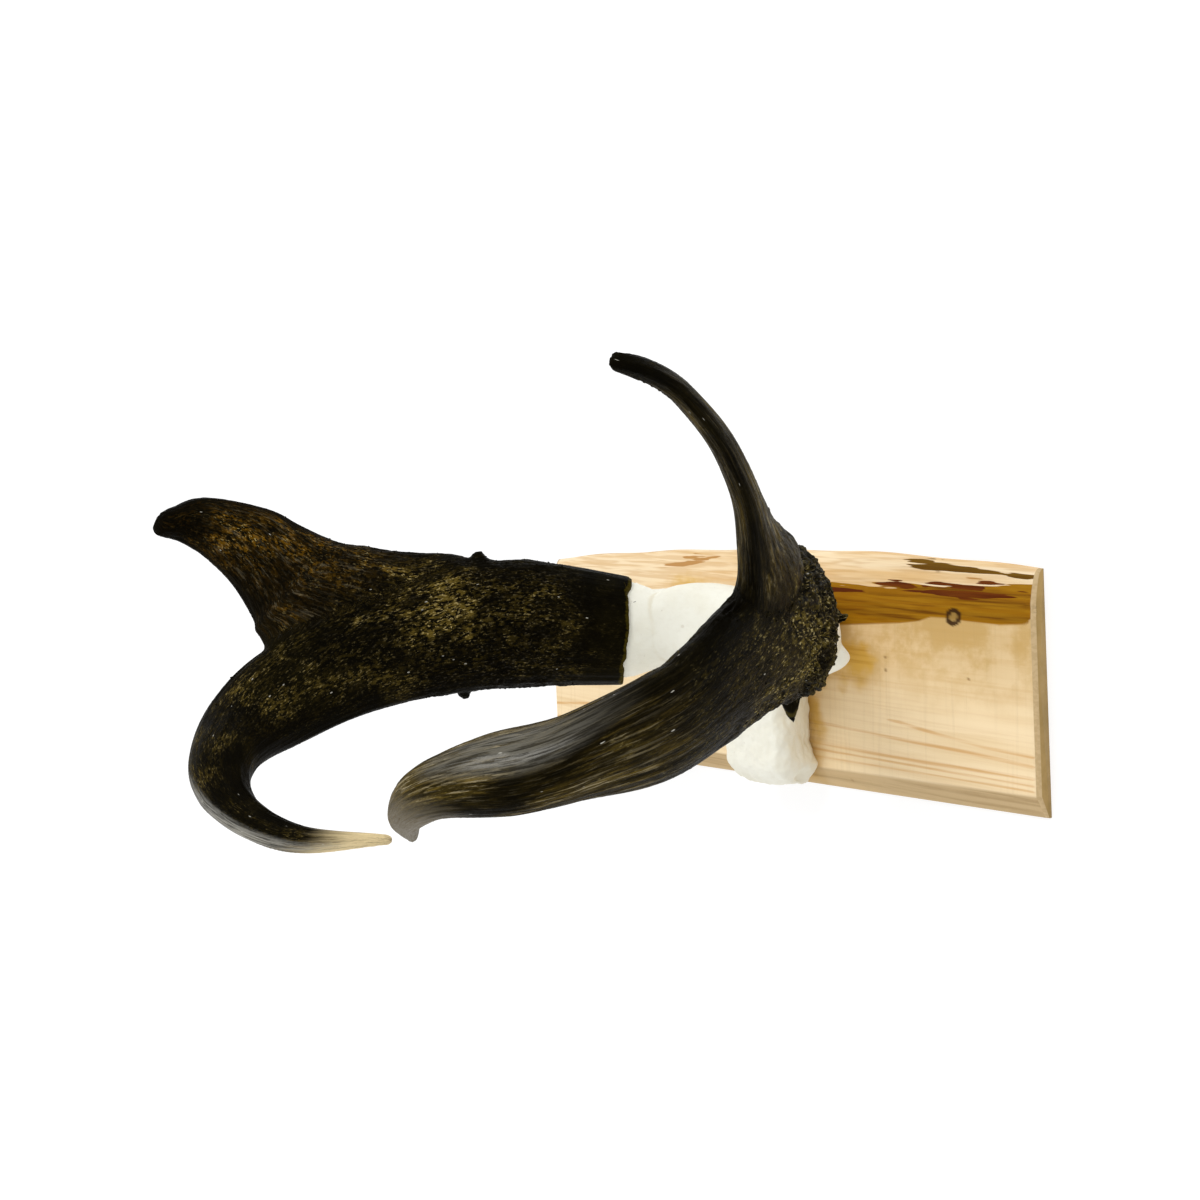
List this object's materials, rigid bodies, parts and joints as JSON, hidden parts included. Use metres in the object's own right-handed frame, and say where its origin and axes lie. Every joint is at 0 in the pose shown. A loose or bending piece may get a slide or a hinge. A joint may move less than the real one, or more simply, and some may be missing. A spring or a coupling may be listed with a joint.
{
  "type": "antelope horn mount",
  "caption": "Pronged, hooked pair of antelope horns on their bleached skull cap, seated on a short pine plaque with one natural bark-side edge.",
  "frame": {"origin": "middle of the plaque's flat back, on the plane it rests on", "axes": "+Z out of the plaque's face, the way the horns stand; +X to the animal's left, along the plaque; -Y towards the animal's front, where the waney edge is"},
  "size_m": [0.3449, 0.1784, 0.2842],
  "materials": {
    "horn": "satin, near-black brown, fibrous along the horn and warty near the skull, worn pale at the tips",
    "bone": "bleached, smooth and matt",
    "pine": "planed and oiled, dark cambium patches along the waney edge"
  },
  "bodies": {
    "root": {"left_horn": "horn", "right_horn": "horn", "skull_cap": "bone", "plaque": "pine"}
  },
  "joints": []
}
